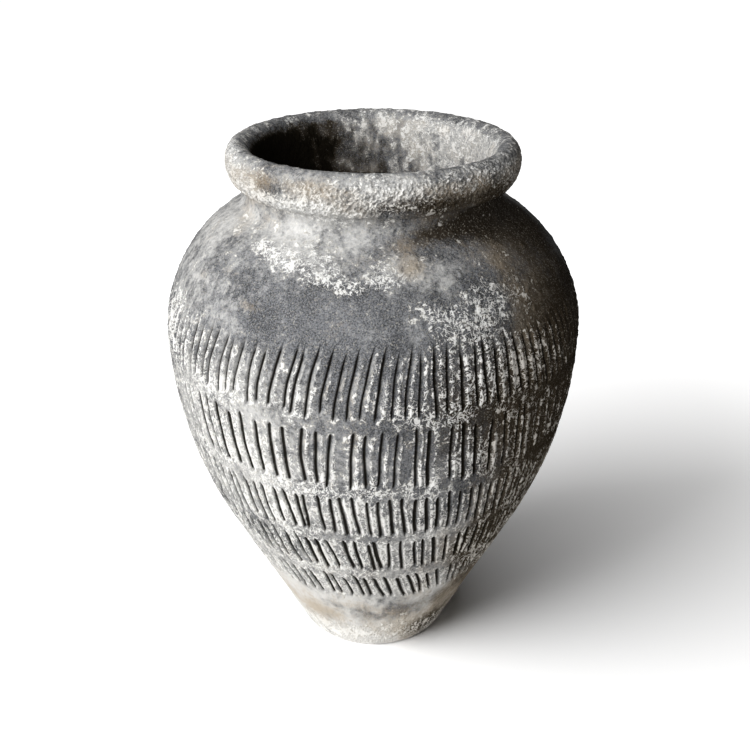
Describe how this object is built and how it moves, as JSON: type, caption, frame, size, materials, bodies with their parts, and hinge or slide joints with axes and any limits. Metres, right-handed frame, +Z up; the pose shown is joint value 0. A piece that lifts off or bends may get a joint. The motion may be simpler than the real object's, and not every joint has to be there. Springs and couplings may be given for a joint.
{
  "type": "urn vase",
  "caption": "Hand-built earthenware urn vase: narrow foot, high round belly with bands of incised upright strokes, short neck and thick rolled rim, hollow inside.",
  "frame": {"origin": "middle of the flat standing face", "axes": "+Z up along the axis of the pot; -Y is the side that the picture shows"},
  "size_m": [0.27, 0.27, 0.36],
  "materials": {
    "aged_clay": "matt unglazed grey clay with a chalky pale crust"
  },
  "bodies": {
    "root": {"base_disc": "aged_clay", "foot_wall": "aged_clay", "lower_wall": "aged_clay", "middle_wall": "aged_clay", "belly_wall": "aged_clay", "shoulder_wall": "aged_clay", "neck_collar": "aged_clay", "rim_roll": "aged_clay"}
  },
  "joints": []
}
